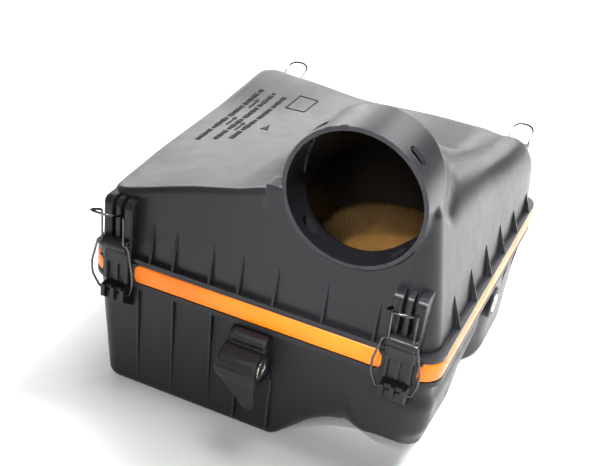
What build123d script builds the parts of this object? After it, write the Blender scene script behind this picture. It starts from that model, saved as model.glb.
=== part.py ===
from build123d import *
from math import cos, radians, sin
import os

# Air filter housing: a tub and a cover clamp the polyurethane seal of a pleated
# panel filter between them. Four bent-wire clips hold the cover down, and rubber
# grommets with steel sleeves carry the housing. Millimetres, +Z up, +X along the
# front, +Y towards the back. The origin is on the base, under the seam's centre.

os.makedirs("parts", exist_ok=True)

# ---- driving dimensions ----
HALF = 125.0  # half the width and depth of the joint flange
CORNER_R = 15.0  # plan radius of the flange corners
SEAM_Z = 97.0  # datum height in the seal, from which the heights below are given
SEAL_LOW = 4.0  # lower face of the seal, below the datum
SEAL_H = 10.4  # upper face of the seal, above the datum
LIP_H = 4.0  # thickness of each flange
LIP_W = 11.0  # width of each flange
WALL = 2.5  # wall thickness of both mouldings
WALL_FOOT = 120.7  # half width of the walls where they meet the flanges
DRAFT_LEFT = 0.12  # how far each cover wall leans in for each millimetre of height
DRAFT_RIGHT = 0.18
DRAFT_FRONT = 0.03
DRAFT_BACK = 0.055
FIN_W = 1.8  # thickness of the gussets and the tub's ribs
FIN_ROOT = 1.4  # how deep the gussets reach into the walls
GAP = 0.1  # clearance between the seal and each flange

ROOF_LEFT = 61.0  # roof height above the datum along the left edge
ROOF_SLOPE = 0.268  # rise of the roof to the right, at the front edge
VALLEY_LOW = 66.0  # roof height behind the outlet
VALLEY_RISE = 33.0  # how much higher the valley beside the outlet is at the front
CREST = 107.0  # height of the right ridge at the front
CREST_DROP = 33.0  # how far the ridge has fallen at the back
RIM_R = 9.0  # rounding of the roof's edges

DUCT_X = 53.6  # outlet axis
DUCT_Z = 105.0  # outlet axis above the datum
DUCT_R = 46.5  # outlet collar, outside
DUCT_WALL = 3.0
DUCT_MOUTH_Y = -122.0
DUCT_BEND_Y = -95.0  # where the horizontal collar turns down
BORE_LENGTH = 39.8  # straight bore inside the collar
DUCT_FALL = 0.60  # slope of the duct behind the bend
DUCT_VEER = 0.15  # how far the duct runs to the left for each millimetre behind the bend

MEDIA_HALF = 103.5  # half width of the pleat pack
MEDIA_TOP = 6.0  # above the datum
MEDIA_DEPTH = 38.0
PLEATS = 69
PLEAT_SKIN = 10.0  # upright thickness of one sloping paper fold

CLIP_X = {"front_left": -101.5, "front_right": 100.0, "back_left": -98.0, "back_right": 98.0}
WIRE_R = 0.8
PIVOT_V = 5.5  # clip pivot, outward from the flange face
PIVOT_W = -12.0  # clip pivot, above the datum
BEARING_U = 9.0  # half width of the tub's bearing block
PIVOT_CLEAR = 0.08  # radial clearance of the wire in its hole
BARREL_R = 4.5
BARREL_U = 9.6  # half length of the barrel
GUIDE_U = 9.2  # half width of the guide below it
BARREL_V = 4.5
BARREL_W = 24.5
HOOK_ANGLE = 35.0  # where the wire lies on the barrel, above the outward direction
HOOK_GAP = 0.15

SLEEVE_R = 7.0
SLEEVE_BORE_R = 4.25  # passes an M8 bolt
GROMMET_R = 9.0
LUG_R = 12.0

INLET_X = -36.0
INLET_Z = 46.0
INLET_R = 38.0
INLET_END_Y = 146.0

TUB_CORNER_R = 12.0
TUB_LEFT = 123.5  # the tub's left wall at the flange, from the centre
BASE_LEFT = 115.5  # the same at the base
BASE_RIGHT = 117.5
BASE_DEPTH = 118.0  # half depth of the base
DEEP_TOP_DROP = 45.0  # underside of the shallow corner, below the datum
CHUNK_DROP = 62.0  # underside of the front right block, below the datum
DEEP_CORNER = ((16.0, -118.0), (109.0, 42.0))  # slanting wall of the deep part


# ---- shared shapes ----
def plan(x0, x1, y0, y1, z, radius):
    """A rounded rectangle lying at height z."""
    outline = RectangleRounded(x1 - x0, y1 - y0, radius)
    return Pos((x0 + x1) / 2, (y0 + y1) / 2, z) * outline


def block(x0, x1, y0, y1, z0, z1):
    low = (Align.MIN, Align.MIN, Align.MIN)
    return Pos(x0, y0, z0) * Box(x1 - x0, y1 - y0, z1 - z0, align=low)


def ring(outer, radius, inner, inner_radius, z0, z1):
    """A square flange with rounded corners and an open middle."""
    frame = plan(-outer, outer, -outer, outer, z0, radius)
    opening = plan(-inner, inner, -inner, inner, z0, inner_radius)
    return extrude(frame - opening, amount=z1 - z0, dir=(0, 0, 1))


def side_profile(points, x0, x1):
    """A prism along X from points (y, z)."""
    face = make_face(Polyline([(x0, y, z) for y, z in points], close=True))
    return extrude(face, amount=x1 - x0, dir=(1, 0, 0))


def rod(x0, x1, y, z, radius):
    """A cylinder along X."""
    face = Plane(origin=(x0, y, z), z_dir=(1, 0, 0)) * Circle(radius)
    return extrude(face, amount=x1 - x0, dir=(1, 0, 0))


def pipe_y(x, z, y0, y1, radius):
    """A cylinder along Y."""
    face = Plane(origin=(x, y0, z), z_dir=(0, 1, 0)) * Circle(radius)
    return extrude(face, amount=y1 - y0, dir=(0, 1, 0))


def smooth(t):
    t = min(1.0, max(0.0, t))
    return t * t * (3 - 2 * t)


def fin(along, z_tip, z_foot, foot_out, tip_out, side):
    """A thin gusset on one side of the housing, rooted in the wall, its tip flush with it."""
    points = [
        (WALL_FOOT - FIN_ROOT, z_foot), (foot_out, z_foot),
        (tip_out, z_tip), (tip_out - FIN_ROOT, z_tip),
    ]
    face = make_face(Polyline([(-FIN_W / 2, -v, z) for v, z in points], close=True))
    solid = extrude(face, amount=FIN_W, dir=(1, 0, 0))
    turn = {"front": 0, "right": 90, "back": 180, "left": 270}[side]
    shift = {"front": along, "right": along, "back": -along, "left": -along}[side]
    return Rot(0, 0, turn) * Pos(shift, 0, 0) * solid


# ---- cover ----
def roof_height(x, y, drop):
    """Height of the roof: a plateau on the left, then a valley and the ridge along the right wall."""
    front_share = (120 - y) / 240
    plateau = ROOF_LEFT + ROOF_SLOPE * front_share * (x + 115)
    valley = VALLEY_LOW + VALLEY_RISE * min(1.0, max(0.0, (60 - y) / 120)) ** 1.2
    crest = CREST - CREST_DROP * max(0.0, (y + 70) / 166) ** 1.3
    right = valley + (crest - valley) * smooth((x - 64) / 50)
    return SEAM_Z + plateau + (right - plateau) * smooth((x + 30) / 80) - drop


def under_roof(drop):
    span = 140.0
    count = 15
    line = [-span + 2 * span * i / (count - 1) for i in range(count)]
    points = [[Vector(x, y, roof_height(x, y, drop)) for y in line] for x in line]
    skin = Face.make_surface_from_array_of_points(points)
    return extrude(skin, amount=160, dir=(0, 0, -1))


def cover_walls(inset, z0):
    """The drafted walls from height z0, up past the roof."""
    rise = 150.0
    foot = WALL_FOOT - inset
    low = plan(-foot, foot, -foot, foot, z0, CORNER_R - 1 - inset)
    high = plan(
        -foot + DRAFT_LEFT * rise, foot - DRAFT_RIGHT * rise,
        -foot + DRAFT_FRONT * rise, foot - DRAFT_BACK * rise,
        z0 + rise, CORNER_R - 1 - inset,
    )
    return loft([low, high])


def duct(radius, y0, inset):
    """The outlet: a horizontal collar that turns down into the cover, kept inside the walls."""
    z = SEAM_Z + DUCT_Z
    run = 130.0 - DUCT_BEND_Y
    line = Polyline(
        (DUCT_X, y0, z), (DUCT_X, DUCT_BEND_Y, z),
        (DUCT_X - DUCT_VEER * run, DUCT_BEND_Y + run, z - DUCT_FALL * run),
    )
    section = Plane(origin=(DUCT_X, y0, z), z_dir=(0, 1, 0)) * Circle(radius)
    tube = sweep(section, path=line, transition=Transition.RIGHT)
    room = cover_walls(inset, SEAM_Z + SEAL_H + 1) + block(0, 102.5, y0 - 1, -100, z - 50, z + 50)
    return tube & room & block(-200, 200, -200, 200, SEAM_Z + 45, SEAM_Z + 260)


def roof_edges(solid):
    """The long edges where the roof meets the walls, with their corner arcs."""
    found = []
    for edge in solid.edges():
        size = edge.bounding_box().size
        upright = size.X < 3 and size.Y < 3
        if edge.center().Z > SEAM_Z + 50 and size.Z < 60 and not upright:
            found.append(edge)
    return found


def cover_bracket(x, side):
    """Hook for one clip: three ribs, the barrel that the wire holds, and a guide over the seam."""
    lip_z = SEAM_Z + SEAL_H
    parts = []
    for u, half_width in ((-7.6, 3.0), (0.0, 1.8), (7.6, 3.0)):
        rib = block(u - half_width, u + half_width, -HALF - 3.3, -118.6, lip_z, SEAM_Z + 57)
        top_edge = rib.edges().filter_by(Axis.X).sort_by(Axis.Z)[-2:].sort_by(Axis.Y)[0]
        parts.append(fillet(top_edge, 6))
    barrel_y = -HALF - BARREL_V
    parts.append(rod(-BARREL_U, BARREL_U, barrel_y, SEAM_Z + BARREL_W, BARREL_R))
    parts.append(block(-GUIDE_U, GUIDE_U, -HALF - 4.5, -118.6, lip_z, SEAM_Z + 19))
    parts.append(block(-GUIDE_U, GUIDE_U, -HALF - 4.5, -HALF - 0.3, SEAM_Z - 5, SEAM_Z + 19))
    parts.append(block(-9.5, 9.5, -HALF - 3.0, -118.6, SEAM_Z + 19, SEAM_Z + BARREL_W + 2))
    hook = parts[0]
    for part in parts[1:]:
        hook += part
    if side == "back":
        hook = mirror(hook, about=Plane.XZ)
    return Pos(x, 0, 0) * hook


def make_cover():
    lip_z = SEAM_Z + SEAL_H
    outer = cover_walls(0, lip_z + 1) & under_roof(0)
    outer = fillet(roof_edges(outer), RIM_R)
    outer += duct(DUCT_R, DUCT_MOUTH_Y, 0)
    outer += ring(HALF, CORNER_R, HALF - LIP_W, 6, lip_z, lip_z + LIP_H)
    z = SEAM_Z + DUCT_Z
    inner = cover_walls(WALL, lip_z - 1) & under_roof(WALL)
    inner = fillet(roof_edges(inner), RIM_R - WALL)
    inner -= pipe_y(DUCT_X, z, DUCT_MOUTH_Y - 10, DUCT_BEND_Y, DUCT_R)
    inner -= block(-200, 200, -200, 200, SEAM_Z - 10, lip_z + LIP_H)
    opening = HALF - LIP_W
    inner += extrude(plan(-opening, opening, -opening, opening, lip_z - 1, 6), amount=LIP_H + 2)
    bore_r = DUCT_R - DUCT_WALL
    inner += duct(bore_r, DUCT_MOUTH_Y - 3, WALL)
    inner += pipe_y(DUCT_X, z, DUCT_MOUTH_Y - 3, DUCT_MOUTH_Y + BORE_LENGTH, bore_r)
    outer += block(-3.5, 10, -120, -108, SEAM_Z + 84, SEAM_Z + 97)
    cover = outer - inner
    for angle in (48, 132, 228, 312):
        slot = Pos(DUCT_R - 2, 0, 0) * Box(14, 5, 14)
        cover -= Pos(DUCT_X, -112, z) * Rot(0, -angle, 0) * slot
    foot = lip_z + LIP_H - 1
    for x in (-79, -62, -35, -14, 11, 45, 80):
        cover += fin(x, SEAM_Z + 40, foot, HALF - 0.4, 119.9, "front")
        cover += fin(x, SEAM_Z + 40, foot, HALF - 0.4, 119.3, "back")
    for y in (-81, -44, -8, 27, 62, 98):
        cover += fin(y, SEAM_Z + 35, foot, HALF - 0.4, 116.7, "right")
        cover += fin(-y, SEAM_Z + 35, foot, HALF - 0.4, 118.1, "left")
    for name, x in CLIP_X.items():
        cover += cover_bracket(x, name.split("_")[0])
    return cover


# ---- tub ----
def tub_core(inset, top):
    """The tub's body down to the base, without the corner that is cut away under it."""
    foot = WALL_FOOT - inset
    depth = BASE_DEPTH - inset
    radius = TUB_CORNER_R - inset
    high = plan(-TUB_LEFT + inset, foot, -foot, foot, top, radius)
    low = plan(-BASE_LEFT + inset, BASE_RIGHT - inset, -depth, depth, inset, radius)
    core = loft([low, high])
    (ax, ay), (bx, by) = DEEP_CORNER
    ax, bx, by = ax - inset * 1.16, bx - inset, by + inset
    far = 200.0
    corner = Polyline([(ax, -far, 0), (ax, ay, 0), (bx, by, 0), (far, by, 0), (far, -far, 0)], close=True)
    corner = Pos(0, 0, -1) * make_face(corner)
    cut = extrude(corner, amount=SEAM_Z - DEEP_TOP_DROP + 1 + inset, dir=(0, 0, 1))
    block_x = 64 + inset
    block_y = -44 - inset
    chunk_z = SEAM_Z - CHUNK_DROP + inset
    chunk = side_profile(
        [(-200, chunk_z), (block_y, chunk_z - 8), (block_y + 26, SEAM_Z), (-200, SEAM_Z)], block_x, 200
    )
    return core - (cut - chunk)


def tub_block(x, side):
    """Bearing block for one clip, with the hole for the wire's two ends."""
    y0 = -118.5
    face = -HALF - 8.8
    z = SEAM_Z
    points = [(y0, z - 7.8), (face, z - 7.8), (face, z - 17), (y0, z - 28)]
    body = side_profile(points, -BEARING_U, BEARING_U)
    body -= rod(-20, 20, -HALF - PIVOT_V, z + PIVOT_W, WIRE_R + PIVOT_CLEAR)
    if side == "back":
        body = mirror(body, about=Plane.XZ)
    return Pos(x, 0, 0) * body


MOUNTS = {
    # centre of each mounting bore, the span of its boss and the side that it stands on
    "front": {"y": -135.0, "z": SEAM_Z - 29, "x0": -15.0, "x1": 13.0},
    "rear": {"y": 135.0, "z": SEAM_Z - 29, "x0": 48.0, "x1": 76.0},
    "right": {"y": 34.0, "z": SEAM_Z - 33, "x0": 106.0, "x1": 124.0},
}


def hanging_lug(spec):
    """A boss held off the wall by a bracket, with a shield that tapers down at its front."""
    y, z, x0, x1 = (spec[key] for key in ("y", "z", "x0", "x1"))
    out = -1 if y < 0 else 1
    wall = out * 119.0
    front = y + out * 10
    lug = rod(x0, x1, y, z, LUG_R)
    lug += side_profile([(wall, z + 17), (y - out * 4, z + 17), (y, z + 11), (y, z - 11), (wall, z - 24)], x0, x1)
    lug += side_profile([(y, z), (front + out * 1.8, z), (front, z - 30), (wall, z - 24)], x0, x1)
    taper = make_face(Polyline([(x0 - 1, 0, z - 4), (x1 - 7, 0, z - 40), (x0 - 1, 0, z - 40)], close=True))
    return lug - extrude(taper, amount=200, both=True)


def side_boss(spec):
    """A short boss through the right wall at the top of the cut-away corner."""
    lug = rod(spec["x0"], spec["x1"], spec["y"], spec["z"], LUG_R)
    web = block(spec["x0"], 119, spec["y"] - 9, spec["y"] + 9, spec["z"], SEAM_Z - SEAL_LOW - 3)
    return lug + web


def make_tub():
    top = SEAM_Z - SEAL_LOW
    outer = tub_core(0, top - 1)
    floor_edges = [e for e in outer.edges() if e.bounding_box().max.Z < 1]
    outer = fillet(floor_edges, 6)
    outer += ring(HALF, CORNER_R, HALF - LIP_W, 6, top - LIP_H, top)
    for spec in (MOUNTS["front"], MOUNTS["rear"]):
        outer += hanging_lug(spec)
    outer += side_boss(MOUNTS["right"])
    outer += pipe_y(INLET_X, INLET_Z, 110, INLET_END_Y, INLET_R)
    inner = tub_core(WALL, top - LIP_H)
    opening = HALF - LIP_W
    mouth = plan(-opening, opening, -opening, opening, top - LIP_H - 0.5, 6)
    inner += extrude(mouth, amount=LIP_H + 2, dir=(0, 0, 1))
    spec = MOUNTS["right"]
    keep = rod(spec["x0"], spec["x1"], spec["y"], spec["z"], LUG_R)
    tub = outer - (inner - keep)
    tub -= pipe_y(INLET_X, INLET_Z, 100, INLET_END_Y + 1, INLET_R - DUCT_WALL)
    for name, spec in MOUNTS.items():
        tub -= rod(spec["x0"] - 1, spec["x1"] + 1, spec["y"], spec["z"], GROMMET_R)
    z = SEAM_Z
    for x in (-88, -61, -32):
        for side in ("front", "back"):
            if side == "front" or abs(x - INLET_X) > INLET_R:
                tub += fin(x, z - 88, top - 3, HALF - 1.4, 118.4, side)
    for x, rib_top in ((-11.0, -57), (14.4, -46)):
        tub += block(x - FIN_W / 2, x + FIN_W / 2, -121.3, -117.2, z - 89.5, z + rib_top)
    for name, x in CLIP_X.items():
        tub += tub_block(x, name.split("_")[0])
    return tub


# ---- filter element ----
def make_seal():
    low = SEAM_Z - SEAL_LOW + GAP
    return ring(HALF, CORNER_R, MEDIA_HALF, 1.0, low, SEAM_Z + SEAL_H - GAP)


def make_media():
    """One sheet of paper folded into upright pleats that run along Y."""
    step = MEDIA_HALF / PLEATS
    top = SEAM_Z + MEDIA_TOP
    low = top - MEDIA_DEPTH
    upper = []
    under = []
    for i in range(2 * PLEATS + 1):
        x = -MEDIA_HALF + step * i
        upper.append((x, -MEDIA_HALF, top if i % 2 else low + PLEAT_SKIN))
        under.append((x, -MEDIA_HALF, top - PLEAT_SKIN if i % 2 else low))
    outline = Polyline(upper + under[::-1], close=True)
    return extrude(make_face(outline), amount=2 * MEDIA_HALF, dir=(0, 1, 0))


def make_beads():
    """Glue beads across the folds, above and below the pleats."""
    top = SEAM_Z + MEDIA_TOP
    low = top - MEDIA_DEPTH
    end = MEDIA_HALF - 3
    beads = [block(-end, end, y - 1.2, y + 1.2, top, top + 1.4) for y in (-78, 82)]
    beads += [block(-end, end, y - 1.2, y + 1.2, low - 1.4, low) for y in (-78, 0, 82)]
    return Compound(children=beads)


# ---- clips and mounting hardware ----
def make_clip(x, side):
    """One bent wire: two ends in the tub, bowed arms, a hook over the barrel and a finger loop."""
    reach = BARREL_R + WIRE_R + HOOK_GAP
    hook_v = BARREL_V + reach * cos(radians(HOOK_ANGLE))
    hook_w = BARREL_W + reach * sin(radians(HOOK_ANGLE))
    half = [
        (4.8, PIVOT_V, PIVOT_W), (11.6, PIVOT_V, PIVOT_W), (15.4, 8.5, -1.0), (15.4, 9.6, 9.0),
        (11.3, hook_v, hook_w), (8.0, hook_v, hook_w), (8.0, hook_v + 0.8, 51.0), (8.0, 27.5, 59.7),
    ]
    bends = [2.4, 12.0, 16.0, 1.6, 1.4, 5.0, 7.0]
    points = half + [(-u, v, w) for u, v, w in half[::-1]]
    out = -1 if side == "front" else 1
    route = [(x + u, out * (HALF + v), SEAM_Z + w) for u, v, w in points]
    path = FilletPolyline(*route, radius=bends + bends[::-1])
    section = Plane(origin=path @ 0, z_dir=path % 0) * Circle(WIRE_R)
    return sweep(section, path=path)


def make_grommet(spec):
    body = rod(spec["x0"], spec["x1"], spec["y"], spec["z"], GROMMET_R)
    return body - rod(spec["x0"] - 1, spec["x1"] + 1, spec["y"], spec["z"], SLEEVE_R)


def make_sleeve(spec):
    body = rod(spec["x0"] - 0.5, spec["x1"] + 0.5, spec["y"], spec["z"], SLEEVE_R)
    return body - rod(spec["x0"] - 1, spec["x1"] + 1, spec["y"], spec["z"], SLEEVE_BORE_R)


def make_inlet_seal():
    """A rubber ring stretched over the end of the inlet."""
    body = pipe_y(INLET_X, INLET_Z, INLET_END_Y - 12, INLET_END_Y - 4, INLET_R + 3)
    return body - pipe_y(INLET_X, INLET_Z, INLET_END_Y - 13, INLET_END_Y, INLET_R)


nodes = {
    "lower_housing": make_tub(),
    "cover": make_cover(),
    "filter_seal": make_seal(),
    "filter_media": make_media(),
    "filter_glue_beads": make_beads(),
    "inlet_seal": make_inlet_seal(),
}
for clip, clip_x in CLIP_X.items():
    nodes["clip_" + clip] = make_clip(clip_x, clip.split("_")[0])
for mount, mount_spec in MOUNTS.items():
    nodes[mount + "_mount_grommet"] = make_grommet(mount_spec)
    nodes[mount + "_mount_sleeve"] = make_sleeve(mount_spec)

for node, shape in nodes.items():
    export_step(shape, f"parts/{node}.step")
    print(node, round(shape.volume / 1000, 1), "cm3", "valid" if shape.is_valid else "NOT VALID")
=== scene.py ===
import math

import bmesh
import bpy
import numpy as np
from mathutils import Matrix, Vector


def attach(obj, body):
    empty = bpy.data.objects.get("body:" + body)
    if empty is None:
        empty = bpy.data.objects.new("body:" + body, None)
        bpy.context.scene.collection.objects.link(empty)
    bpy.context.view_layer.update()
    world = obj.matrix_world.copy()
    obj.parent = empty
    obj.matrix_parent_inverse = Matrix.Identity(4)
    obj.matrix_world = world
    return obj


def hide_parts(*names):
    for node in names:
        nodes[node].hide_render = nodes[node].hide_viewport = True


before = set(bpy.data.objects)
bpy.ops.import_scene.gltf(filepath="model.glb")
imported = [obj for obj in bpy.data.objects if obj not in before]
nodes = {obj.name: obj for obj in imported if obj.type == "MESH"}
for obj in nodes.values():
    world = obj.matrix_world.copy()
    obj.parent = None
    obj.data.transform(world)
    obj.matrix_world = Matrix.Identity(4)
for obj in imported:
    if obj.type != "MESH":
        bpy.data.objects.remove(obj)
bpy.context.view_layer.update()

# Air filter housing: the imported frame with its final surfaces. Objects are in metres, in the
# frame's own axes. The shapes are worked out in millimetres and scaled by MM as they are made.

MM = 0.001

# ---- driving dimensions, mm ----
HALF = 125.0  # half width of the joint flange
CORNER_R = 15.0
SEAM = 97.0  # datum height in the seal
LOW = SEAM - 4.0  # the tub's upper face
HIGH = SEAM + 10.4  # the cover's lower face
LIP = 4.0
OPENING = 114.0
WALL = 3.6
TUB_WALL = 4.6
FOOT = 120.7  # half width of the walls where they meet the flanges
RIM_R = 9.0  # rounding of the roof's edges
ROOF_LEFT, ROOF_SLOPE = 61.0, 0.268  # the plateau's height above the datum, and its rise to the right
SIDE_X = 115.0  # where the plateau's slope starts, left of the middle
ROOF_HALF = 120.0  # half depth of the roof
VALLEY_LOW, VALLEY_RISE = 66.0, 33.0  # the valley at the back, and how much higher it is in front
CREST, CREST_DROP = 107.0, 33.0  # the right shoulder in front, and how far it falls to the back
DRAFT = {"front": 0.03, "back": 0.055, "left": 0.12, "right": 0.18}  # how the cover's walls lean in
DUCT_X, DUCT_Z, DUCT_R, DUCT_WALL = 53.6, SEAM + 105.0, 46.5, 3.0
MOUTH_Y, BEND_Y = -122.0, -95.0
DUCT_FALL, DUCT_VEER = 0.60, 0.15
SLOT_ANGLES = (48, 132, 228, 312)
SLOT_Y = -111.0
SLOT_HALF, SLOT_WIDE = 6.6, 3.8  # half length and half width of the collar's slots
BAFFLE_X, BAFFLE_Y, BAFFLE_R = 45.0, -3.0, 47.0
BAFFLE_Z = SEAM + 18  # the inner wall's lower edge
INLET_X, INLET_Z, INLET_R, INLET_BORE = -36.0, 46.0, 38.0, 35.0
INLET_END = 146.0
CLIPS = {"front_left": -101.5, "front_right": 100.0, "back_left": -98.0, "back_right": 98.0}
BARREL_V, BARREL_W, BARREL_R, BARREL_U = 4.5, 24.5, 4.5, 9.6
GUIDE_U, BEARING_U = 9.2, 9.0
PIVOT_V, PIVOT_W, PIVOT_R = 5.5, -12.0, 0.9
BRACKET_TOP = 57.0
MOUNTS = {
    # centre of each mounting bore in y and z, and the span of its boss in x
    "front": (-135.0, SEAM - 29, -15.0, 13.0),
    "rear": (135.0, SEAM - 29, 48.0, 76.0),
    "right": (34.0, SEAM - 33, 106.0, 124.0),
}
LUG_R, GROMMET_R, SLEEVE_R, BOLT_R = 12.0, 9.0, 7.0, 4.25
FIN_W = 1.8
SHELL_CELL, BRACKET_CELL, LUG_CELL = 1.9, 0.75, 0.85  # spacing of the surface grids


# ---- fields: arrays of points in, distances out, negative inside ----
def smooth(t):
    t = np.clip(t, 0.0, 1.0)
    return t * t * (3 - 2 * t)


def meet(a, b, r):
    """Where both a and b are solid, with the edge between them rounded by r."""
    inner = np.minimum(np.maximum(a + r, b + r), 0.0)
    return inner + np.hypot(np.maximum(a + r, 0.0), np.maximum(b + r, 0.0)) - r


def join(a, b, r):
    """a and b together, with a fillet of radius r between them."""
    return -meet(-a, -b, r)


def slab(x, y, x0, x1, y0, y1, r):
    """An upright rounded rectangle."""
    qx = np.abs(x - (x0 + x1) / 2) - (x1 - x0) / 2 + r
    qy = np.abs(y - (y0 + y1) / 2) - (y1 - y0) / 2 + r
    return np.hypot(np.maximum(qx, 0), np.maximum(qy, 0)) + np.minimum(np.maximum(qx, qy), 0) - r


def brick(p, x0, x1, y0, y1, z0, z1, r):
    x, y, z = p
    return meet(slab(x, y, x0, x1, y0, y1, r), np.maximum(z0 - z, z - z1), r)


def roof_height(x, y):
    plateau = ROOF_LEFT + ROOF_SLOPE * ((ROOF_HALF - y) / (2 * ROOF_HALF)) * (x + SIDE_X)
    plateau = plateau - 3.5 * smooth((-40 - y) / 80) * smooth((-50 - x) / 60)
    plateau = plateau + 4.0 * smooth((y - 20) / 90) * smooth((-20 - x) / 60)
    valley = VALLEY_LOW + VALLEY_RISE * np.clip((60 - y) / 120, 0, 1) ** 1.2
    crest = CREST - CREST_DROP * np.maximum(0.0, (y + 70) / 166) ** 1.3
    right = valley + (crest - valley) * smooth((x - 64) / 50)
    return SEAM + plateau + (right - plateau) * smooth((x + 30) / 80)


def roof_field(x, y, z):
    height = roof_height(x, y)
    slope_x = roof_height(x + 1, y) - height
    slope_y = roof_height(x, y + 1) - height
    return (z - height) / np.sqrt(1 + slope_x ** 2 + slope_y ** 2)


def cover_walls(x, y, z):
    rise = z - (HIGH + 1)
    lean = DRAFT["right"] - 0.09 * smooth(y / 110)
    return 0.985 * slab(x, y, -FOOT + DRAFT["left"] * rise, FOOT - lean * rise,
                        -FOOT + DRAFT["front"] * rise, FOOT - DRAFT["back"] * rise, CORNER_R - 1)


def flange_field(x, y, z, z0, z1):
    rim = meet(slab(x, y, -HALF, HALF, -HALF, HALF, CORNER_R), np.maximum(z0 - z, z - z1), 0.6)
    return np.maximum(rim, -slab(x, y, -OPENING, OPENING, -OPENING, OPENING, 6))


def duct_radial(x, y, z):
    """Distance from the outlet's axis, which runs level and then turns down and to the left."""
    px, py, pz = x - DUCT_X, y - BEND_Y, z - DUCT_Z
    down = np.array((-DUCT_VEER, 1.0, -DUCT_FALL))
    down /= np.linalg.norm(down)
    along = px * down[0] + py * down[1] + pz * down[2]
    tilted = np.sqrt(np.maximum(px * px + py * py + pz * pz - along * along, 0))
    behind = px * down[0] + py * (down[1] + 1) + pz * down[2] > 0
    return np.where(behind, tilted, np.hypot(px, pz))


def cover_field(p):
    x, y, z = p
    walls = cover_walls(x, y, z)
    rim = RIM_R - 5.0 * np.maximum(smooth((-85 - y) / 25), smooth((-80 - x) / 30))
    rim = rim + 16.0 * smooth((x - 70) / 30) * smooth((y + 110) / 30)
    body = meet(walls, roof_field(x, y, z), rim)
    radial = duct_radial(x, y, z)
    level = np.hypot(x - DUCT_X, z - DUCT_Z)
    blend = 2.0 + (3.0 + 15.0 * smooth((DUCT_X - x) / 40)) * smooth((y + 116) / 14)
    room = np.minimum(walls, y + 100)
    # kept off the back wall, so that the fillet doesn't swell it
    inner_room = np.maximum(room, np.minimum(walls, y) + blend * smooth(y / 60))
    duct = np.maximum(meet(radial - DUCT_R, MOUTH_Y - y, 0.8), np.where(y > 0, inner_room, room))
    outer = join(body, duct, blend)
    outer = join(outer, brick(p, -3.5, 10, -120, -106, SEAM + 80, SEAM + 97, 1.2), 2.0)
    collar = np.maximum(level - DUCT_R - 2.5, y - BEND_Y)
    cavity = np.maximum(body + WALL, -collar)
    bore = np.maximum(radial - DUCT_R + 5.0, room + WALL)
    bore = np.minimum(bore, np.maximum(level - DUCT_R + DUCT_WALL, y - BEND_Y))
    shell = np.maximum(outer, -np.minimum(cavity, bore))
    # the wall that turns the air up into the outlet, open towards the front
    turn = np.where(y < BAFFLE_Y, BAFFLE_X - x, np.hypot(x - BAFFLE_X, y - BAFFLE_Y))
    baffle = np.maximum(np.abs(turn - BAFFLE_R - 2) - 2, BAFFLE_Z - z)
    baffle = np.maximum(baffle, np.maximum(outer + 1, -100 - y))
    shell = np.minimum(shell, baffle)
    for angle in SLOT_ANGLES:
        c, s = math.cos(math.radians(angle)), math.sin(math.radians(angle))
        out = (x - DUCT_X) * c + (z - DUCT_Z) * s
        across = (z - DUCT_Z) * c - (x - DUCT_X) * s
        slot = slab(across, y, -SLOT_HALF, SLOT_HALF, SLOT_Y - SLOT_WIDE, SLOT_Y + SLOT_WIDE, 3.6)
        # only through the collar, not on through the walls
        shell = np.maximum(shell, -np.maximum(slot, np.maximum(20 - out, out - 60)))
    shell = np.maximum(shell, HIGH - z)
    return np.minimum(shell, flange_field(x, y, z, HIGH, HIGH + LIP))


def tub_field(p):
    x, y, z = p
    up = z / LOW
    walls = slab(x, y, -115.5 - 8 * up, 117.5 + 3.2 * up, -118 - 2.7 * up, 118 + 2.7 * up, 12)
    body = meet(walls, -z, 7)
    # the corner cut away under the front right, behind a slanting wall
    run = np.clip(((x - 16) * 0.5025 + (y + 118) * 0.8645) / 185, 0, 1)
    lean = 0.6 - 0.5 * run
    slant = ((x - 16 - lean * z) * 0.8645 - (y + 118) * 0.5025) / np.sqrt(1 + (0.8645 * lean) ** 2)
    ceiling = z - (19.5 + 42.0 * run + 16.0 * smooth((x - 62) / 30))
    cut = meet(-slant, ceiling, 20.0)
    front = smooth((-80 - y) / 15)
    flare = 3.0 + 26.0 * front * smooth(z / 45) * (1 - smooth((x - 66) / 20))
    body = meet(body, -cut, flare)
    # the block that hangs down at the front right
    back_face = (y + 44 + 0.9 * (30 - z)) * 0.75
    block = meet(meet(62 - x, 35.0 - 0.1 * (y + 118) - z, 18), back_face, 6)
    block = meet(block, z - 70, 1)
    block = meet(block, np.maximum(walls, z - LOW), 4 + 14 * (1 - smooth((x - 62) / 26)))
    return join(body, block, 10)


def tub_shell(p):
    x, y, z = p
    outer = tub_field(p)
    shell = np.maximum(np.maximum(outer, -(outer + TUB_WALL)), z - LOW)
    pipe = np.hypot(x - INLET_X, z - INLET_Z)
    stub = np.maximum(pipe - INLET_R, np.maximum(100 - y, y - INLET_END))
    shell = np.maximum(shell, -np.maximum(pipe - INLET_BORE, 100 - y))
    stub = np.maximum(stub, -(pipe - INLET_BORE))
    stub = np.maximum(stub, -(outer + TUB_WALL))
    shell = join(shell, stub, 2)
    return np.minimum(shell, flange_field(x, y, z, LOW - LIP, LOW))


# ---- surface from a field ----
def evaluate(field, points):
    out = np.empty(len(points))
    step = 400000
    for i in range(0, len(points), step):
        out[i:i + step] = field(points[i:i + step].T)
    return out


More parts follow.
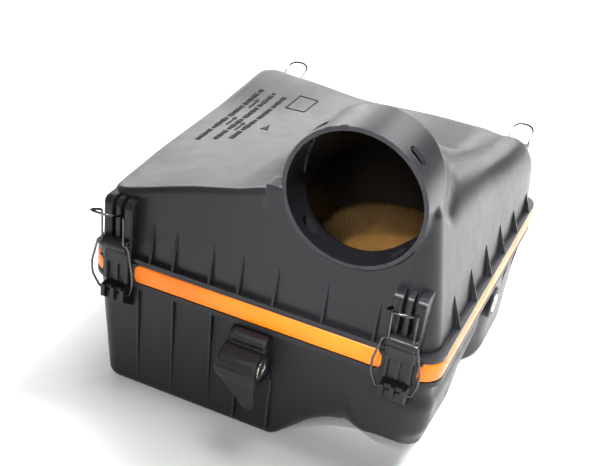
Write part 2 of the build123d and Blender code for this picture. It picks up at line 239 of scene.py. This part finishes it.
def surface(field, low, high, cell):
    """Quads on the field's zero surface, with its sharp edges kept, as (points, faces)."""
    low = np.array(low, float)
    side = 6
    blocks = np.ceil((np.array(high) - low) / (cell * side)).astype(int)
    centre = np.stack(np.meshgrid(*[np.arange(n) for n in blocks], indexing="ij"), -1)
    middle = evaluate(field, (low + (centre.reshape(-1, 3) + 0.5) * cell * side)).reshape(blocks)
    live = np.abs(middle) < cell * side * 1.25
    size = blocks * side + 1
    value = np.ones(size)
    need = np.zeros(size, bool)
    sign = np.repeat(np.repeat(np.repeat(np.sign(middle), side, 0), side, 1), side, 2)
    value[:-1, :-1, :-1] = sign * cell * 9
    value[-1], value[:, -1], value[:, :, -1] = 99, 99, 99
    for i, j, k in np.argwhere(live):
        i, j, k = i * side, j * side, k * side
        need[i:i + side + 1, j:j + side + 1, k:k + side + 1] = True
    spots = np.argwhere(need)
    value[need] = evaluate(field, low + spots * cell)
    inside = value < 0
    edges, flips, axes = [], [], []
    for axis in range(3):
        first = [slice(None)] * 3
        second = [slice(None)] * 3
        first[axis], second[axis] = slice(0, -1), slice(1, None)
        a, b = inside[tuple(first)], inside[tuple(second)]
        both = need[tuple(first)] & need[tuple(second)]
        found = np.argwhere((a != b) & both)
        edges.append(found)
        flips.append(a[tuple(found.T)])
        axes.append(np.full(len(found), axis))
    edge, flip, axis = np.concatenate(edges), np.concatenate(flips), np.concatenate(axes)
    keep = np.all(edge > 0, axis=1)
    edge, flip, axis = edge[keep], flip[keep], axis[keep]
    unit = np.eye(3, dtype=int)[axis]
    ends = edge + unit
    va, vb = value[tuple(edge.T)], value[tuple(ends.T)]
    start, stop = low + edge * cell, low + ends * cell
    t = va / (va - vb)
    for _ in range(2):
        where = start + (stop - start) * t[:, None]
        vt = evaluate(field, where)
        same = (vt < 0) == (va < 0)
        start, va = np.where(same[:, None], where, start), np.where(same, vt, va)
        stop, vb = np.where(same[:, None], stop, where), np.where(same, vb, vt)
        t = np.clip(va / np.where(va == vb, 1, va - vb), 0, 1)
    hit = start + (stop - start) * t[:, None]
    normal = np.empty_like(hit)
    tiny = 0.05
    for i in range(3):
        shift = np.zeros(3)
        shift[i] = tiny
        normal[:, i] = evaluate(field, hit + shift) - evaluate(field, hit - shift)
    normal /= np.maximum(np.linalg.norm(normal, axis=1), 1e-9)[:, None]
    # the four cells around each crossed edge
    cells = []
    for du, dv in ((0, 0), (-1, 0), (-1, -1), (0, -1)):
        move = np.zeros_like(edge)
        rows = np.arange(len(edge))
        move[rows, (axis + 1) % 3] = du
        move[rows, (axis + 2) % 3] = dv
        cells.append(np.ravel_multi_index((edge + move).T, size))
    cells = np.stack(cells, 1)
    used, index = np.unique(cells, return_inverse=True)
    index = index.reshape(cells.shape)
    count = np.bincount(index.ravel(), minlength=len(used)).astype(float)

    def total(v):
        return np.bincount(index.ravel(), np.repeat(v, 4), len(used))

    mass = np.stack([total(hit[:, i]) for i in range(3)], 1) / count[:, None]
    reach = np.einsum("ij,ij->i", normal, hit)
    pull = np.stack([total(normal[:, i] * reach) for i in range(3)], 1)
    grid = np.empty((len(used), 3, 3))
    for i in range(3):
        for j in range(i, 3):
            grid[:, i, j] = grid[:, j, i] = total(normal[:, i] * normal[:, j])
    right = pull - np.einsum("nij,nj->ni", grid, mass)
    grid[:, range(3), range(3)] += 0.08
    point = mass + np.linalg.solve(grid, right[:, :, None])[:, :, 0]
    corner = low + np.stack(np.unravel_index(used, size), 1) * cell
    point = np.clip(point, corner - 0.1 * cell, corner + 1.1 * cell)
    quads = np.where(flip[:, None], index, index[:, ::-1])
    return point, quads


def linked(name, data):
    obj = bpy.data.objects.new(name, data)
    bpy.context.scene.collection.objects.link(obj)
    return obj


def mesh_object(name, points, faces, body, *replaced, sharp=35, turn_out=False):
    """A piece of points in millimetres on a body; turn_out makes its faces point outwards."""
    mesh = bpy.data.meshes.new(name)
    mesh.from_pydata((np.asarray(points) * MM).tolist(), [], [list(map(int, f)) for f in faces])
    mesh.validate()
    mesh.update()
    mesh.shade_smooth()
    mesh.set_sharp_from_angle(angle=math.radians(sharp))
    obj = linked(name, mesh)
    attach(obj, body)
    if turn_out:
        bm = bmesh.new()
        bm.from_mesh(mesh)
        bmesh.ops.recalc_face_normals(bm, faces=bm.faces)
        bm.to_mesh(mesh)
        bm.free()
    if replaced:
        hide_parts(*replaced)
    return obj


# ---- the two shells ----
def add_shells(cover_black, tub_black):
    points, faces = surface(cover_field, (-128, -128, 104), (128, 128, 256), SHELL_CELL)
    cover = mesh_object("cover_shell", points, faces, "cover", "cover", sharp=50)
    points, faces = surface(tub_shell, (-128, -128, -3), (128, 150, 97), SHELL_CELL)
    tub = mesh_object("tub_shell", points, faces, "housing", "lower_housing", sharp=50)
    finish(cover, cover_black)
    finish(tub, tub_black)


def finish(obj, material):
    obj.data.materials.append(material)


# ---- clip brackets and bearing blocks: u along x, v out from the flange, w above the datum ----
def polygon(a, b, corners):
    """Distance to a convex outline whose corners run anticlockwise."""
    out = np.full_like(a, -1e3)
    for (a0, b0), (a1, b1) in zip(corners, corners[1:] + corners[:1]):
        length = math.hypot(a1 - a0, b1 - b0)
        out = np.maximum(out, ((a - a0) * (b1 - b0) - (b - b0) * (a1 - a0)) / length)
    return out


def bracket_field(p):
    u, v, w = p
    lip = HIGH - SEAM
    out = brick(p, -GUIDE_U, GUIDE_U, -7.5, BARREL_V, lip - 1, 19, 0.7)
    for at, half in ((-7.6, 3.0), (0.0, 1.8), (7.6, 3.0)):
        side = meet(np.abs(u - at) - half, v - 3.3, 0.9)
        top = meet(v - 3.3, w - BRACKET_TOP, 6)
        rib = meet(np.maximum(side, top), w - BRACKET_TOP, 0.9)
        rib = np.maximum(rib, np.maximum(-11.5 - v, lip - w))
        out = join(out, rib, 0.6)
    barrel = meet(np.hypot(v - BARREL_V, w - BARREL_W) - BARREL_R, np.abs(u) - BARREL_U, 0.6)
    out = join(out, barrel, 0.5)
    out = np.minimum(out, brick(p, -9.0, 9.0, -7.5, 3.0, 19, BARREL_W + 2, 0.5))
    guide = brick(p, -GUIDE_U, GUIDE_U, 0.3, BARREL_V, -5, 19, 0.8)
    guide = np.maximum(guide, -brick(p, -6.6, 6.6, 2.3, 9, -9, 15.5, 0.8))
    guide = join(guide, brick(p, -1.3, 1.3, 0.3, 4.2, -4.4, 16, 0.6), 0.5)
    out = join(out, guide, 0.4)
    # corner pieces that close the seal's rounded ends
    wing = brick(p, -14.6, 14.6, 0.05, 0.9, -4.5, 11, 0.3)
    end = slab(np.abs(u), w, 11.9, 60, -4.0, lip, 5.2)
    return np.minimum(out, np.maximum(wing, -end))


def bearing_field(p):
    u, v, w = p
    side = polygon(v, w, [(-6.5, -28), (8.8, -17), (8.8, -7.8), (-6.5, -7.8)])
    body = meet(side, np.abs(u) - BEARING_U, 0.9)
    recess = polygon(v, w, [(4.6, -24), (12, -24), (12, -5), (6.6, -5)])
    recess = meet(recess, np.abs(np.abs(u) - 3.6) - 2.2, 0.5)
    body = np.maximum(body, -recess)
    return np.maximum(body, PIVOT_R - np.hypot(v - PIVOT_V, w - PIVOT_W))


def placed(points, faces, x, out):
    """From u, v, w at a clip to the frame, on the front (out -1) or the back (out 1)."""
    spot = np.stack([points[:, 0] + x, out * (HALF + points[:, 1]), points[:, 2] + SEAM], 1)
    return spot, faces[:, ::-1] if out < 0 else faces


def add_brackets(cover_black, tub_black):
    hook = surface(bracket_field, (-17, -13, -8), (17, 12, 60), BRACKET_CELL)
    bearing = surface(bearing_field, (-12, -9, -31), (12, 12, -5), BRACKET_CELL)
    for name, x in CLIPS.items():
        out = -1 if name.startswith("front") else 1
        piece = mesh_object("clip_bracket_" + name, *placed(*hook, x, out), "cover", sharp=50)
        finish(piece, cover_black)
        piece = mesh_object("clip_bearing_" + name, *placed(*bearing, x, out), "housing", sharp=50)
        finish(piece, tub_black)


# ---- mounting lugs ----
def lug_field(p, z0, span):
    """A hanging lug: x from its left end, v out from the wall, z above the base."""
    x, v, z = p
    at = 16.0
    ends = np.maximum(-x, x - span)
    roll = meet(np.hypot(v - at, z - z0) - LUG_R, ends, 1.6)
    ridge = meet(np.hypot(v - 8.5, z - z0 - 15.5) - 5.5, np.maximum(3.0 - x, x - span), 1.2)
    web = polygon(v, z, [(-1.5, z0 - 24), (at, z0 - 11), (at, z0 + 8), (9, z0 + 18), (-1.5, z0 + 20)])
    shield = polygon(v, z, [(-1.5, z0 - 25), (at + 9, z0 - 28), (at + 11.9, z0), (at, z0), (-1.5, z0 - 12)])
    body = join(roll, meet(web, ends, 1.2), 1.5)
    taper = (-(x + 1) * 31 - (z - z0 + 4) * (span - 1)) / math.hypot(31, span - 1)
    shield = meet(meet(shield, ends, 1.2), taper, 3)
    body = join(join(body, shield, 3), ridge, 1.5)
    hollow = brick((x, v, z), span - 9, span + 4, 1.5, at + 6, z0 - 40, z0 - GROMMET_R - 2.5, 2)
    body = np.maximum(body, -hollow)
    return np.maximum(body, GROMMET_R - np.hypot(v - at, z - z0))


def boss_field(p):
    x, y, z = p
    cy, cz, x0, x1 = MOUNTS["right"]
    ends = np.maximum(x0 - x, x - x1)
    roll = meet(np.hypot(y - cy, z - cz) - LUG_R, ends, 1.2)
    web = brick(p, x0, 119.6, cy - 9, cy + 9, cz, LOW - 3, 1.0)
    return np.maximum(join(roll, web, 2), GROMMET_R - np.hypot(y - cy, z - cz))


def add_lugs(black):
    for name, out in (("front", -1), ("rear", 1)):
        cy, cz, x0, x1 = MOUNTS[name]
        points, faces = surface(lambda p: lug_field(p, cz, x1 - x0), (-3, -4, cz - 36),
                                (x1 - x0 + 3, 32, cz + 22), LUG_CELL)
        spot = np.stack([points[:, 0] + x0, out * (119.0 + points[:, 1]), points[:, 2]], 1)
        faces = faces[:, ::-1] if out < 0 else faces
        finish(mesh_object(name + "_lug", spot, faces, "housing", sharp=50), black)
    points, faces = surface(boss_field, (104, 18, 49), (127, 50, 95), LUG_CELL)
    finish(mesh_object("right_boss", points, faces, "housing", sharp=50), black)


# ---- gussets and ribs ----
def add_prism(bm, outline, width, turn, shift):
    """A flat plate of outline (v out, z), width thick, on the side that turn points to."""
    rows = []
    for u in (-width / 2, width / 2):
        rows.append([bm.verts.new(turn @ Vector((u + shift, -v, z))) for v, z in outline])
    count = len(outline)
    bm.faces.new(rows[0][::-1])
    bm.faces.new(rows[1])
    for i in range(count):
        j = (i + 1) % count
        bm.faces.new((rows[0][i], rows[0][j], rows[1][j], rows[1][i]))


def bmesh_object(name, bm, body):
    """A piece from a bmesh in millimetres."""
    bmesh.ops.transform(bm, matrix=Matrix.Scale(MM, 4), verts=bm.verts)
    mesh = bpy.data.meshes.new(name)
    bm.to_mesh(mesh)
    bm.free()
    obj = linked(name, mesh)
    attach(obj, body)
    return obj


def plates_object(name, plates, body, bevel):
    """Many thin plates as one piece, with rounded edges."""
    bm = bmesh.new()
    for outline, width, side, along in plates:
        angle = {"front": 0, "right": 90, "back": 180, "left": 270}[side]
        shift = along if side in ("front", "right") else -along
        add_prism(bm, outline, width, Matrix.Rotation(math.radians(angle), 3, "Z"), shift)
    bmesh.ops.recalc_face_normals(bm, faces=bm.faces)
    bmesh.ops.bevel(bm, geom=bm.edges[:], offset=bevel, segments=3, profile=0.5, affect="EDGES")
    obj = bmesh_object(name, bm, body)
    obj.data.shade_smooth()
    obj.data.set_sharp_from_angle(angle=math.radians(50))
    return obj


def cover_wall_at(side, z):
    return FOOT - DRAFT[side] * (z - HIGH - 1)


def add_ribs(cover_black, tub_black):
    foot = HIGH + LIP - 0.8
    plates = []
    rows = {"front": (-79, -62, -35, -14, 11, 45, 80), "back": (-79, -62, -35, -14, 11, 45, 80),
            "right": (-81, -44, -8, 27, 62, 98), "left": (-98, -62, -27, 8, 44, 81)}
    for side, places in rows.items():
        tip = SEAM + (42 if side in ("front", "back") else 37)
        wall = cover_wall_at(side, tip)
        for along in places:
            outline = [(FOOT - 2, foot), (HALF - 0.4, foot), (HALF - 0.5, foot + 1.5),
                       (wall + 0.1, tip), (wall - 2, tip)]
            plates.append((outline, FIN_W, side, along))
    finish(plates_object("cover_gussets", plates, "cover", 0.45), cover_black)
    plates = []
    top = LOW - LIP + 0.6
    for side in ("front", "back"):
        for along in (-88, -61, -32):
            if side == "front" or abs(along - INLET_X) > 38:
                outline = [(118, top), (116.8, 9), (118.5, 9), (HALF - 1.4, top)]
                plates.append((outline, FIN_W, side, along))
    for along, rib_top in ((-11.0, SEAM - 57), (14.4, SEAM - 46)):
        outline = [(117, rib_top), (117, 7.5), (121.3, 7.5), (121.3, rib_top)]
        plates.append((outline, FIN_W, "front", along))
    for along in (-88, -55, 75, 104):
        outline = [(118, top), (117.5, 57), (119.6, 57), (HALF - 1.4, top)]
        plates.append((outline, FIN_W, "right", along))
    finish(plates_object("tub_gussets", plates, "housing", 0.45), tub_black)


# ---- moulded marks on the roof: plain bars, arrows and an empty panel ----
def add_marks(material):
    bm = bmesh.new()

    def flat(outline):
        points = [Vector((x, y, roof_height(x, y))) for x, y in outline]
        low = [bm.verts.new(p + Vector((0, 0, -0.6))) for p in points]
        high = [bm.verts.new(p + Vector((0, 0, 0.35))) for p in points]
        bm.faces.new(high)
        for i in range(len(outline)):
            j = (i + 1) % len(outline)
            bm.faces.new((low[i], low[j], high[j], high[i]))

    def bar(x, y0, y1, half):
        flat([(x + half, y0), (x + half, y1), (x - half, y1), (x - half, y0)])

    for line, x in enumerate((-96.0, -84.5, -74.5)):
        y = -34.0 + 5 * line
        step = line
        while y < 70:
            length = (2.4, 1.4, 3.2, 1.8, 2.6)[step % 5]
            bar(x, y, y + length, (1.9, 1.4, 1.7)[step % 3])
            y += length + (3.2 if step % 7 == 6 else 1.0)
            step += 1
    for x, y0, y1 in ((-90.2, 0.0, 17.0), (-79.5, -8.0, 9.0), (-90.2, 38.0, 55.0)):
        bar(x, y0, y1 - 4, 0.6)
        flat([(x + 1.9, y1 - 4), (x, y1), (x - 1.9, y1 - 4)])
    flat([(-58, 2), (-61, 12), (-64, 2)])
    for x0, x1, y0, y1 in ((-66, -65.2, 50, 78), (-50.8, -50, 50, 78), (-65.2, -50.8, 50, 50.8),
                           (-65.2, -50.8, 77.2, 78)):
        flat([(x1, y0), (x1, y1), (x0, y1), (x0, y0)])
    bmesh.ops.recalc_face_normals(bm, faces=bm.faces)
    finish(bmesh_object("roof_marks", bm, "cover"), material)


# ---- turned pieces ----
def turned(name, profile, centre, axis, body, node, material, sides=72):
    """A ring of revolution: profile of (radius, along) about an axis X or Y through centre."""
    points, faces = [], []
    count = len(profile)
    for i in range(sides):
        angle = 2 * math.pi * i / sides
        for radius, along in profile:
            a, b = radius * math.cos(angle), radius * math.sin(angle)
            spot = (along, a, b) if axis == "X" else (b, along, a)
            points.append([c + s for c, s in zip(centre, spot)])
        for j in range(count):
            k = (j + 1) % count
            n = (i + 1) % sides
            faces.append((i * count + j, i * count + k, n * count + k, n * count + j))
    finish(mesh_object(name, points, faces, body, node, sharp=40, turn_out=True), material)


def rounded(profile, r, steps=4):
    """The closed profile with each corner rounded by r."""
    out = []
    for before, at, after in zip(profile[-1:] + profile[:-1], profile, profile[1:] + profile[:1]):
        at = np.array(at, float)
        one, two = np.array(before) - at, np.array(after) - at
        one, two = one / np.linalg.norm(one), two / np.linalg.norm(two)
        for i in range(steps + 1):
            t = i / steps
            out.append(tuple(at + one * r * (1 - t) ** 2 + two * r * t ** 2))
    return out


def add_hardware(rubber, zinc):
    for name, (cy, cz, x0, x1) in MOUNTS.items():
        grommet = [(SLEEVE_R, x0), (GROMMET_R, x0), (GROMMET_R, x1), (SLEEVE_R, x1)]
        turned(name + "_grommet", rounded(grommet, 0.6), (0, cy, cz), "X", "housing",
               name + "_mount_grommet", rubber)
        sleeve = [(BOLT_R, x0 - 0.5), (SLEEVE_R, x0 - 0.5), (SLEEVE_R, x1 + 0.5), (BOLT_R, x1 + 0.5)]
        turned(name + "_sleeve", rounded(sleeve, 0.7), (0, cy, cz), "X", "housing",
               name + "_mount_sleeve", zinc)
    y0, y1 = 134.0, 142.0
    ring = [(INLET_R, y0), (40.0, y0), (41.0, y0 + 1.5), (39.6, y0 + 3), (41.0, y0 + 4.5),
            (39.6, y0 + 6), (40.4, y1), (INLET_R, y1)]
    turned("inlet_ring", rounded(ring, 0.4), (INLET_X, 0, INLET_Z), "Y", "housing",
           "inlet_seal", rubber)


# ---- filter element ----
def square_loop(half, radius, z, steps=8):
    loop = []
    for cx, cy, start in ((1, 1, 0), (-1, 1, 90), (-1, -1, 180), (1, -1, 270)):
        for i in range(steps + 1):
            angle = math.radians(start + 90 * i / steps)
            middle = half - radius
            loop.append((cx * middle + radius * math.cos(angle), cy * middle + radius * math.sin(angle), z))
    return loop


def add_seal(material):
    """The cast frame: rounded outside edges, a shallow bead and small casting steps above."""
    low, high = LOW + 0.1, HIGH - 0.1
    section = [(0.0, low + 1.6), (0.5, low + 0.5), (1.6, low), (6.0, low), (20.0, low), (21.2, low + 0.8),
               (21.4, low + 6), (21.2, high - 1.0), (20.0, high), (9.0, high), (8.4, high - 0.5),
               (3.4, high - 0.5), (2.8, high), (1.6, high), (0.5, high - 0.5), (0.0, high - 1.6),
               (0.0, low + 7)]
    points, faces = [], []
    for inset, z in section:
        points += square_loop(HALF - inset, max(CORNER_R - inset, 1.2), z)
    per = len(points) // len(section)
    for i in range(len(section)):
        j = (i + 1) % len(section)
        for k in range(per):
            m = (k + 1) % per
            faces.append((i * per + k, j * per + k, j * per + m, i * per + m))
    frame_piece = mesh_object("seal_frame", points, faces, "filter", "filter_seal", sharp=50, turn_out=True)
    finish(frame_piece, material)


def add_beads(material):
    """Glue lines laid over the folds, thicker where they dip between them."""
    top, low = SEAM + 6.0, SEAM - 32.0
    end, pitch = 100.5, 3.0
    points, faces = [], []
    count, around = 268, 7
    for y, z, way in ((-78, top, 1), (82, top, 1), (-78, low, -1), (0, low, -1), (82, low, -1)):
        base = len(points)
        for i in range(count + 1):
            x = -end + 2 * end * i / count
            swell = 1 + 0.12 * math.cos(2 * math.pi * x / pitch)
            for j in range(around):
                angle = math.pi * j / (around - 1)
                points.append((x, y + 1.15 * swell * math.cos(angle),
                               z + way * (1.1 * swell * math.sin(angle) + 0.02)))
        for i in range(count):
            for j in range(around):
                k = (j + 1) % around
                a, b = base + i * around, base + (i + 1) * around
                faces.append((a + j, a + k, b + k, b + j))
        for at in (base, base + count * around):
            faces.append(tuple(range(at, at + around)))
    lines = mesh_object("glue_lines", points, faces, "filter", "filter_glue_beads", sharp=60, turn_out=True)
    finish(lines, material)


# ---- materials ----
class Nodes:
    """Short calls for building a material's nodes."""

    def __init__(self, name):
        self.material = bpy.data.materials.new(name)
        self.material.use_nodes = True
        self.tree = self.material.node_tree
        self.shader = self.tree.nodes["Principled BSDF"]
        self.place = self.tree.nodes.new("ShaderNodeTexCoord").outputs["Object"]

    def link(self, source, target):
        self.tree.links.new(source, target)

    def set(self, **values):
        for key, value in values.items():
            self.shader.inputs[key.replace("_", " ")].default_value = value

    def noise(self, scale, detail=3.0, stretch=None):
        node = self.tree.nodes.new("ShaderNodeTexNoise")
        node.inputs["Scale"].default_value = scale
        node.inputs["Detail"].default_value = detail
        source = self.place
        if stretch:
            mapping = self.tree.nodes.new("ShaderNodeMapping")
            mapping.inputs["Scale"].default_value = stretch
            self.link(self.place, mapping.inputs["Vector"])
            source = mapping.outputs["Vector"]
        self.link(source, node.inputs["Vector"])
        return node.outputs["Fac"]

    def spread(self, source, low, high, to_low=0.0, to_high=1.0):
        node = self.tree.nodes.new("ShaderNodeMapRange")
        for key, value in zip(("From Min", "From Max", "To Min", "To Max"), (low, high, to_low, to_high)):
            node.inputs[key].default_value = value
        self.link(source, node.inputs["Value"])
        return node.outputs["Result"]

    def mix(self, factor, one, two):
        node = self.tree.nodes.new("ShaderNodeMix")
        node.data_type = "RGBA"
        self.link(factor, node.inputs["Factor"])
        for index, value in ((6, one), (7, two)):
            if isinstance(value, tuple):
                node.inputs[index].default_value = (*value, 1)
            else:
                self.link(value, node.inputs[index])
        return node.outputs[2]

    def bump(self, source, strength, distance, before=None):
        node = self.tree.nodes.new("ShaderNodeBump")
        node.inputs["Strength"].default_value = strength
        node.inputs["Distance"].default_value = distance
        self.link(source, node.inputs["Height"])
        if before is not None:
            self.link(before, node.inputs["Normal"])
        return node.outputs["Normal"]

    def edges(self, low, high):
        """1 on outward edges, from the mesh's own curvature: the mask for the painted edge highlights."""
        return self.spread(self.tree.nodes.new("ShaderNodeNewGeometry").outputs["Pointiness"], low, high)

    def use(self, **sources):
        for key, source in sources.items():
            self.link(source, self.shader.inputs[key.replace("_", " ")])
        return self.material


def moulded_black(name, colour, paler, smooth_at, rough_at, grain):
    """Injection-moulded polypropylene: fine spark texture, flow clouds, painted highlights on the outward
    edges, a little dust.
    """
    m = Nodes(name)
    m.set(IOR=1.49, Specular_IOR_Level=0.30)
    clouds = m.spread(m.noise(14, 4), 0.35, 0.7)
    body = m.mix(clouds, colour, paler)
    specks = m.spread(m.noise(900, 2), 0.66, 0.78, 0.0, 0.25)
    body = m.mix(specks, body, tuple(c * 2.6 for c in paler))
    # painted highlight: the outward edges are made paler, as if light catches them
    body = m.mix(m.edges(0.53, 0.62), body, tuple(c * 1.9 for c in paler))
    rough = m.spread(m.noise(90, 5), 0.3, 0.7, smooth_at, rough_at)
    coarse = m.bump(m.noise(60, 2), 0.012, 0.0006)
    return m.use(Base_Color=body, Roughness=rough, Normal=m.bump(m.noise(2600, 2), grain, 0.0002, coarse))


def cast_orange():
    m = Nodes("orange_polyurethane")
    m.set(IOR=1.36, Coat_Weight=0.25, Coat_Roughness=0.25)
    body = m.mix(m.spread(m.noise(22, 3), 0.35, 0.7), (1.0, 0.222, 0.002), (0.95, 0.188, 0.001))
    rough = m.spread(m.noise(60, 3), 0.3, 0.7, 0.34, 0.52)
    pits = m.bump(m.noise(420, 1), 0.10, 0.0003)
    return m.use(Base_Color=body, Roughness=rough, Normal=m.bump(m.noise(55, 2), 0.12, 0.0008, pits))


def filter_paper():
    m = Nodes("filter_paper")
    m.set(Specular_IOR_Level=0.15)
    fibre = m.noise(500, 4, (0.25, 1.0, 0.25))
    body = m.mix(m.spread(fibre, 0.35, 0.65), (0.86, 0.62, 0.29), (0.70, 0.50, 0.22))
    body = m.mix(m.spread(m.noise(40, 2), 0.5, 0.75, 0.0, 0.4), body, (0.56, 0.33, 0.10))
    crepe = m.tree.nodes.new("ShaderNodeTexWave")
    crepe.bands_direction = "Y"
    crepe.inputs["Scale"].default_value = 110
    crepe.inputs["Distortion"].default_value = 1.2
    m.link(m.place, crepe.inputs["Vector"])
    rough = m.spread(fibre, 0.3, 0.7, 0.8, 0.95)
    ridges = m.bump(crepe.outputs["Fac"], 0.5, 0.0004)
    return m.use(Base_Color=body, Roughness=rough, Normal=m.bump(fibre, 0.3, 0.0003, ridges))


def hot_glue():
    m = Nodes("glue")
    m.set(IOR=1.5, Transmission_Weight=0.25)
    body = m.mix(m.spread(m.noise(120, 2), 0.35, 0.7), (0.80, 0.72, 0.50), (0.66, 0.56, 0.34))
    rough = m.spread(m.noise(90, 2), 0.3, 0.7, 0.25, 0.45)
    return m.use(Base_Color=body, Roughness=rough, Normal=m.bump(m.noise(300, 2), 0.2, 0.0004))


def soft_rubber():
    m = Nodes("rubber")
    m.set(IOR=1.52)
    body = m.mix(m.spread(m.noise(80, 3), 0.4, 0.75), (0.016, 0.016, 0.017), (0.045, 0.044, 0.042))
    rough = m.spread(m.noise(150, 3), 0.3, 0.7, 0.6, 0.82)
    return m.use(Base_Color=body, Roughness=rough, Normal=m.bump(m.noise(1500, 2), 0.2, 0.0002))


def metal(name, colour, darker, scale, stretch, smooth_at, rough_at, edge=(1, 1, 1, 1)):
    """Drawn or turned steel with fine lines and darker patches."""
    m = Nodes(name)
    m.set(Metallic=1.0, Specular_Tint=edge)
    body = m.mix(m.spread(m.noise(180, 3), 0.35, 0.7), colour, darker)
    lines = m.noise(scale, 3, stretch)
    rough = m.spread(lines, 0.3, 0.7, smooth_at, rough_at)
    return m.use(Base_Color=body, Roughness=rough, Normal=m.bump(lines, 0.15, 0.0001))


def dress(node, material):
    mesh = nodes[node].data
    mesh.materials.clear()
    mesh.materials.append(material)


# ---- camera ----
CAMERA_ANGLES = (20.35, 30.72, 7.19)  # azimuth, elevation and roll, degrees
CAMERA_PLACE = (0.22975, -0.67444, 0.51976)
CAMERA_LENS = 66.91


def make_camera():
    azimuth, elevation, roll = (math.radians(a) for a in CAMERA_ANGLES)
    back = Vector((math.sin(azimuth) * math.cos(elevation), -math.cos(azimuth) * math.cos(elevation),
                   math.sin(elevation)))
    right = Vector((math.cos(azimuth), math.sin(azimuth), 0))
    up = back.cross(right)
    side = right * math.cos(roll) + up * math.sin(roll)
    top = up * math.cos(roll) - right * math.sin(roll)
    camera = linked("camera", bpy.data.cameras.new("camera"))
    turn = Matrix((side, top, back)).transposed().to_4x4()
    camera.matrix_world = Matrix.Translation(CAMERA_PLACE) @ turn
    camera.data.lens = CAMERA_LENS
    camera.data.sensor_width = 36
    bpy.context.scene.camera = camera


# ---- stage and light ----
def make_stage():
    bpy.ops.mesh.primitive_plane_add(size=12, location=(0, 0, 0))
    floor = bpy.context.active_object
    floor.name = "floor"
    m = Nodes("floor")
    m.set(Specular_IOR_Level=0.2, Roughness=0.75)
    body = m.mix(m.spread(m.noise(3, 2), 0.3, 0.7), (0.94, 0.94, 0.94), (0.93, 0.93, 0.93))
    floor.data.materials.append(m.use(Base_Color=body))


LAMPS = {
    # place, target, width, height, watts
    "back_bank": ((-0.9, 2.1, 0.84), (0, 0, 0.2), 3.4, 0.75, 39),
    "top_box": ((0.2, 0.1, 2.4), (0, 0, 0), 0.9, 0.9, 24),
    "front_soft": ((0.30, -1.87, 1.38), (0.04, 0, 0.12), 0.6, 0.6, 20),
    "back_high": ((0.45, 1.5, 1.35), (0.05, 0, 0.2), 1.1, 0.5, 9),
    "floor_glow": ((0.55, 0.45, 1.5), (0.42, 0.40, 0), 0.5, 0.5, 44),
}
SKY = ((0.30, 1.0), (0.55, 0.55))  # position on the ramp from the horizon up, and brightness


def aimed(name, light, place, target):
    lamp = linked(name, light)
    lamp.location = place
    lamp.rotation_euler = (Vector(target) - Vector(place)).to_track_quat("-Z", "Y").to_euler()


def make_light():
    scene = bpy.context.scene
    scene.view_settings.view_transform = "Standard"
    world = bpy.data.worlds.new("studio")
    scene.world = world
    world.use_nodes = True
    tree = world.node_tree
    background = tree.nodes["Background"]
    place = tree.nodes.new("ShaderNodeTexCoord")
    split = tree.nodes.new("ShaderNodeSeparateXYZ")
    ramp = tree.nodes.new("ShaderNodeValToRGB")
    tree.links.new(place.outputs["Generated"], split.inputs[0])
    tree.links.new(split.outputs["Z"], ramp.inputs["Fac"])
    tree.links.new(ramp.outputs["Color"], background.inputs["Color"])
    stops = ramp.color_ramp.elements
    stops[0].position, stops[0].color = 0.0, (1.0, 1.0, 1.0, 1)
    stops[1].position, stops[1].color = 1.0, (0.22, 0.22, 0.23, 1)
    for position, level in SKY:
        stops.new(position).color = (level, level, level, 1)
    background.inputs["Strength"].default_value = 0.45
    for name, (where, target, width, height, power) in LAMPS.items():
        light = bpy.data.lights.new(name, "AREA")
        light.shape = "RECTANGLE"
        light.size = width
        light.size_y = height
        light.energy = power
        aimed(name, light, where, target)
    # a narrow beam down the outlet, on the paper
    beam = bpy.data.lights.new("outlet_beam", "SPOT")
    beam.energy = 1500
    beam.spot_size = math.radians(3.2)
    beam.spot_blend = 0.6
    beam.shadow_soft_size = 0.09
    aimed("outlet_beam", beam, (-0.02, -1.70, 1.76), Vector((DUCT_X, MOUTH_Y, DUCT_Z + 12)) * MM)


make_camera()
make_stage()
make_light()
cover_black = moulded_black("cover_black", (0.0095, 0.0095, 0.0115), (0.012, 0.012, 0.014), 0.29, 0.35, 0.10)
tub_black = moulded_black("tub_black", (0.0075, 0.0075, 0.009), (0.010, 0.010, 0.012), 0.36, 0.46, 0.18)
orange = cast_orange()
paper = filter_paper()
glue = hot_glue()
rubber = soft_rubber()
zinc = metal("zinc_steel", (0.62, 0.61, 0.58), (0.44, 0.42, 0.37), 900, (0.2, 1.0, 1.0), 0.16, 0.34)
wire = metal("spring_wire", (0.13, 0.13, 0.13), (0.06, 0.06, 0.063), 1500, (1.0, 1.0, 0.15), 0.12, 0.26,
             (0.25, 0.25, 0.26, 1))
add_shells(cover_black, tub_black)
add_brackets(cover_black, tub_black)
add_lugs(tub_black)
add_ribs(cover_black, tub_black)
add_marks(moulded_black("roof_marks", (0.004, 0.004, 0.005), (0.006, 0.006, 0.007), 0.6, 0.7, 0.1))
add_hardware(rubber, zinc)
add_seal(orange)
add_beads(glue)
dress("filter_media", paper)
for clip in CLIPS:
    dress("clip_" + clip, wire)
